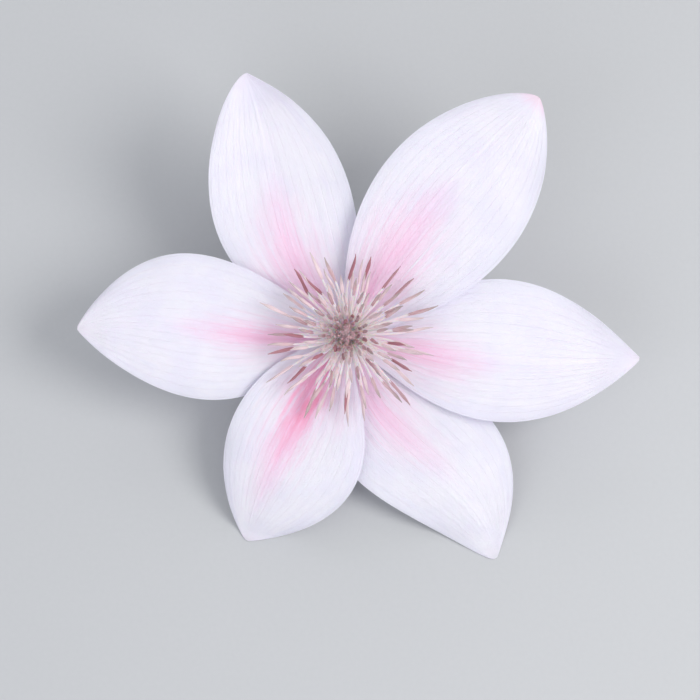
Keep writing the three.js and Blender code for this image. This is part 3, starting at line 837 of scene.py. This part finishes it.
def makePistils():
    look = pistilLook
    roll = np.random.default_rng(look["seed"])
    count, steps = look["count"], look["steps"]
    share = np.sqrt((np.arange(count) + 0.5) / count)
    turn = np.arange(count) * goldenAngle
    shorter = 1 - look["shorter"] * share**2
    lengths = look["length"] * shorter + look["lengthDraw"] * (roll.random(count) - 0.6)
    top = look["foot"] + look["headHeight"] + lengths
    tipTurn = turn + look["turnDraw"] * (roll.random(count) - 0.5)
    least, more = look["tipDraw"]
    tipRadius = look["tipRadius"] * share * (least + more * roll.random(count))
    rootRadius = look["rootRadius"] * share
    root = polar(rootRadius, turn, look["foot"] + look["rootHeight"])
    middle = polar(rootRadius * look["bendRadius"], turn, look["foot"] + look["bendHeight"])
    paths = bend(root, middle, polar(tipRadius, tipTurn, top), steps)
    t = np.linspace(0, 1, steps)[None]
    widths = look["width"] * (look["thins"][0] - look["thins"][1] * t)
    widths = widths * (1 - look["tipThins"] * smoothStep(t, look["tipFrom"], 1))
    across = polar(1.0, turn + np.pi / 2, 0.0)[:, None]
    styles = sweepRods(paths, across, widths, widths, roundOutline(look["sides"]))

    # The head of carpels is turned, with lumps round it where the carpels stand
    radius, height = np.transpose(look["head"])
    height = look["foot"] + look["headHeight"] * height
    head = turnedPoints(look["headRadius"] * radius, height, look["headSides"])
    lumps = 1 + look["lumpDepth"] * np.cos(look["lumps"] * roundTurns(look["headSides"]))
    head[..., :2] *= lumps[None, :, None]
    points, faces, uv = withForm(styles, head)
    tuft = makePiece("styles", intoRow(points), faces, makeStyleMaterial(), uv)

    each = look["hairs"]
    crowded = roll.random((count, each)) ** look["hairCrowd"]
    step = look["hairFrom"] + (look["hairSteps"] * crowded).astype(int)
    around = 2 * np.pi * roll.random(count * each)
    roots = paths[np.arange(count)[:, None], step].reshape(-1, 3)
    ways = unit(polar(1.0, around, look["hairRise"]))
    lengths = look["hairLength"] * (0.5 + 0.5 * roll.random(count * each))
    lean = np.tile([[0.0, 0.0, look["hairLean"]]], (count * each, 1))
    silk = hairRods(roots + look["hairOut"] * ways, ways, lean, lengths, look["hairWidth"])
    silkMaterial = makeHairMaterial("silk", look["plum"], look["silk"])
    hairs = makePiece("styleHairs", intoRow(silk[0]), silk[1], silkMaterial, silk[2])
    for piece in (tuft, hairs):
        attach(piece, "root")
        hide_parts("pistils")
    print("pistils made")


# Stalk: down from the receptacle, round a bend and along the surface. onAxis: the route's points down
# the bloom's axis in mm from its middle, before the neck. route: those after it, in mm from under the
# bloom's middle. topRings, cutRings: the rings that close it, as shares of its radius, and how far
# past the cut they lie in mm.
stalkLook = {
    "radius": 1.1, "onAxis": (0.2, 2.4, 4.4), "neck": 6.5, "drumNarrows": (0.6, 3.4),
    "upper": 1.25, "thinsFrom": 6, "thinsTo": 16, "steps": 260, "sides": 36,
    "route": [(-0.3, 6.6, 3.5), (-0.8, 14, 1.1), (-1.9, 24, 1.02), (-4.8, 36, 1.02), (-10.6, 47, 1.02),
              (-19, 56.5, 1.02)],
    "grooves": 6, "grooveDepth": 0.045, "grooveTop": 0.3, "swell": 0.025, "swellTurn": 0.9,
    "topRings": (0.2, 0.9), "cutRings": [(0.92, 0.1), (0.6, 0.12), (0.55, 0), (0.2, 0)],
    "lowest": 0.02,
    "seed": 9, "hairs": 1500, "hairRows": (18, 24), "hairCrowd": 0.8, "hairLength": 0.55,
    "hairWidth": 0.022, "hairLean": 0.5, "hairStray": 0.35,
    "hairClear": 0.25, "hairLevel": 0.8, "hairLowest": 0.03,
    "green": (0.2, 0.3, 0.075), "paleGreen": (0.36, 0.45, 0.17), "bronze": (0.2, 0.085, 0.055),
    "cut": (0.62, 0.66, 0.42), "down": (0.7, 0.72, 0.6),
}


# A centripetal Catmull-Rom curve through the points, at even steps of its length
def smoothRoute(points, steps):
    points = np.asarray(points, float)
    first, last = 2 * points[0] - points[1], 2 * points[-1] - points[-2]
    p = np.concatenate([[first], points, [last]])
    step = np.diff(p, axis=0)
    gap = np.sqrt(np.linalg.norm(step, axis=1))[:, None]
    way = (step / gap)[:-1] - (step[:-1] + step[1:]) / (gap[:-1] + gap[1:]) + (step / gap)[1:]
    t = np.linspace(0, 1, 80, endpoint=False)[None, :, None]
    a, b = p[1:-2, None], p[2:-1, None]
    m, n = (way[:-1] * gap[1:-1])[:, None], (way[1:] * gap[1:-1])[:, None]
    line = a + m * t + (3 * (b - a) - 2 * m - n) * t**2 + (2 * (a - b) + m + n) * t**3
    line = np.concatenate([line.reshape(-1, 3), points[-1:]])
    run = np.concatenate([[0], np.cumsum(np.linalg.norm(np.diff(line, axis=0), axis=1))])
    even = np.linspace(0, run[-1], steps)
    return np.stack([np.interp(even, run, line[:, k]) for k in range(3)], -1), even


# Green streaks along the stalk with a bronze flush in clouds, paler at its crown and its cut
def makeStalkMaterial():
    look = stalkLook
    material, tree, shader = newMaterial(
        "stalkSkin", Specular_IOR_Level=0.45, Subsurface_Weight=0.12, Subsurface_Scale=0.0006
    )
    along, turn = surfacePlace(tree)
    cloud, cells = livingSkin(tree, 5.0, 0.2)
    streak = noise(tree, stretchedPlace(tree, along, turn, (14.0, 18.0)), 1.0, 3.0)
    flush = times(tree, ease(tree, cloud, 0.45, 0.75), ease(tree, along, 0.1, 0.4, 0.15, 0.7))
    crown = ease(tree, along, 0.02, 0.07, 0.7, 0.0)
    cut = ease(tree, pointNumber(tree, "cut"), 0.4, 0.9)
    colour = layered(
        tree, look["green"], (ease(tree, streak, 0.35, 0.7), look["paleGreen"]),
        (flush, look["bronze"]), (crown, look["paleGreen"]), (cut, look["cut"]),
    )
    paint(tree, shader, colour, ease(tree, streak, 0.3, 0.7, 0.4, 0.65))
    addBump(tree, shader, scaled(tree, cells, 0.5, streak), 0.09)
    return material


# The stalk's route in mm and how far along it each point lies
def stalkRoute():
    look = stalkLook
    centre = np.array(bloom["centre"])
    down = np.array([0, math.sin(bloom["lean"]), -math.cos(bloom["lean"])])
    neck = [centre + down * d for d in (-receptacle["top"], *look["onAxis"], look["neck"])]
    ground = np.array([centre[0], centre[1], 0])
    return smoothRoute(neck + [np.array(point) + ground for point in look["route"]], look["steps"])


# Its radius there, wide as the receptacle and then plain, and how far it is below the receptacle
def stalkRadius(run):
    look = stalkLook
    drum = receptacle["top"] - receptacle["foot"]
    before, after = look["drumNarrows"]
    below = smoothStep(run, drum - before, drum + after)
    thinned = smoothStep(run, look["thinsFrom"], look["thinsTo"])
    plain = look["radius"] * (look["upper"] - (look["upper"] - 1) * thinned)
    radius = receptacle["radius"] + (plain - receptacle["radius"]) * below
    return radius * (1 + look["swell"] * np.sin(run * look["swellTurn"]) * below), below


# Down on the stalk: short hairs that lean back along it, where they clear the surface
def stalkHairs(points, ways, along):
    look = stalkLook
    roll = np.random.default_rng(look["seed"])
    count = look["hairs"]
    first, left = look["hairRows"]
    row = (first + (look["steps"] - left) * roll.random(count) ** look["hairCrowd"]).astype(int)
    column = (look["sides"] * roll.random(count)).astype(int)
    roots = points[row, column]
    way = ways[row, column]
    clear = roots[:, 2] > look["hairClear"]
    level = (roots[:, 2] < look["hairLevel"]) & (way[:, 2] < 0)
    way[level, 2] = 0.0
    roots, way, row = roots[clear], unit(way[clear]), row[clear]
    stray = look["hairStray"] * (roll.random(way.shape) - 0.5)
    lean = stray - along[row] * look["hairLean"]
    lengths = look["hairLength"] * (0.5 + 0.8 * roll.random(len(roots)))
    fuzz = hairRods(roots, way, lean, lengths, look["hairWidth"])
    fuzz[0][:, 2] = np.maximum(fuzz[0][:, 2], look["hairLowest"])
    return fuzz


# The stalk's surface: a round section carried along the route with shallow grooves, closed by inset
# rings at both ends
def makeStalk():
    look = stalkLook
    middle, run = stalkRoute()
    radius, below = stalkRadius(run)
    sides = look["sides"]
    turn = roundTurns(sides)
    along = unit(np.gradient(middle, axis=0))
    across = unit(np.cross(along, [0.0, 0.35, 1.0]))
    out = np.cross(along, across)
    ribbed = look["grooveDepth"] * np.cos(look["grooves"] * turn)[None]
    grooved = look["grooveTop"] + (1 - look["grooveTop"]) * below[:, None]
    reach = radius[:, None] * (1 + ribbed * grooved)
    ways = np.cos(turn)[None, :, None] * across[:, None] + np.sin(turn)[None, :, None] * out[:, None]
    points = middle[:, None] + reach[..., None] * ways
    inset, past = np.transpose(look["cutRings"])[..., None, None]
    end = middle[-1] + along[-1] * past + (points[-1] - middle[-1])[None] * inset
    top = middle[0] + (points[0] - middle[0])[None] * np.array(look["topRings"])[:, None, None]
    rows = np.concatenate([top, points, end])
    cut = np.zeros(rows.shape[:2])
    cut[-len(end):] = 1
    rows[..., 2] = np.maximum(rows[..., 2], look["lowest"])
    share = np.clip((np.arange(len(rows)) - len(top)) / (look["steps"] - 1), 0, 1)
    uv = np.stack(np.broadcast_arrays(share[:, None], turn[None] / (2 * np.pi)), -1).reshape(-1, 2)
    faces = tubeFaces(len(rows), sides)
    stalk = makePiece("fineStalk", rows.reshape(-1, 3) * mm, faces, makeStalkMaterial(), uv, cut=cut)

    fuzz = stalkHairs(points, ways, along)
    downMaterial = makeHairMaterial("down", look["paleGreen"], look["down"])
    hairs = makePiece("stalkDown", fuzz[0] * mm, fuzz[1], downMaterial, fuzz[2])
    for piece in (stalk, hairs):
        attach(piece, "root")
        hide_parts("stalk")
    print("stalk made")


# Studio: a pale floor, soft lights, and a camera that looks along the bloom's axis from above.
# The floor and the lights are in metres, the camera's view width and aim in mm of the bloom's frame.
studio = {
    "floor": 6.0, "floorColour": (0.53, 0.54, 0.56), "floorRough": 0.8,
    "grain": 0.05, "grainScale": 900.0,
    "lens": 150, "sensor": 36, "viewWidth": 160.2, "aim": (0.57, -3.43, 0.0), "clip": (0.01, 20),
    "world": (0.95, 0.97, 1.0), "worldStrength": 0.58, "lightsAim": (0, 0, 0.015),
    "lights": [
        dict(name="key", place=(0.4, -0.12, 0.5), size=0.4, power=2.3, colour=(1.0, 0.985, 0.96)),
        dict(name="fill", place=(-0.3, -0.52, 0.48), size=0.7, power=1.5, colour=(0.93, 0.95, 1.0)),
        dict(name="back", place=(-0.1, 0.6, 0.35), size=0.45, power=0.7, colour=(1.0, 1.0, 1.0)),
    ],
}


def turnTowards(thing, target):
    thing.rotation_mode = "QUATERNION"
    thing.rotation_quaternion = (Vector(target) - thing.location).to_track_quat("-Z", "Y")


def makeFloor():
    half = studio["floor"] / 2
    corners = np.array([(-half, -half, 0), (half, -half, 0), (half, half, 0), (-half, half, 0)], float)
    material, tree, shader = newMaterial("paleFloor", Specular_IOR_Level=0.2)
    grain = times(tree, noise(tree, objectPlace(tree), studio["grainScale"], 3.0), studio["grain"])
    colour = layered(tree, studio["floorColour"], (grain, (1, 1, 1)))
    paint(tree, shader, colour, studio["floorRough"])
    floor = makePiece("floor", corners, [np.array([[0, 1, 2, 3]])], material)


def makeLights():
    world = bpy.data.worlds.new("studioAir")
    world.use_nodes = True
    background = world.node_tree.nodes["Background"]
    background.inputs["Color"].default_value = (*studio["world"], 1)
    background.inputs["Strength"].default_value = studio["worldStrength"]
    bpy.context.scene.world = world
    for made in studio["lights"]:
        data = bpy.data.lights.new(made["name"], "AREA")
        data.shape = "DISK"
        data.size = made["size"]
        data.energy = made["power"]
        data.color = made["colour"]
        light = bpy.data.objects.new(made["name"], data)
        light.location = made["place"]
        turnTowards(light, studio["lightsAim"])
        bpy.context.scene.collection.objects.link(light)


def makeCamera():
    data = bpy.data.cameras.new("camera")
    data.lens = studio["lens"]
    data.sensor_width = studio["sensor"]
    data.clip_start, data.clip_end = studio["clip"]
    camera = bpy.data.objects.new("camera", data)
    target = Vector(intoRow(studio["aim"]))
    lookAlong = Vector((0, -math.sin(bloom["lean"]), math.cos(bloom["lean"])))
    distance = studio["viewWidth"] * mm * studio["lens"] / studio["sensor"]
    camera.location = target + lookAlong * distance
    turnTowards(camera, target)
    bpy.context.scene.collection.objects.link(camera)
    bpy.context.scene.camera = camera


bpy.context.scene.view_settings.view_transform = "Standard"
makeSepals()
makeStamens()
makePistils()
makeStalk()
makeFloor()
makeLights()
makeCamera()
print("studio made")
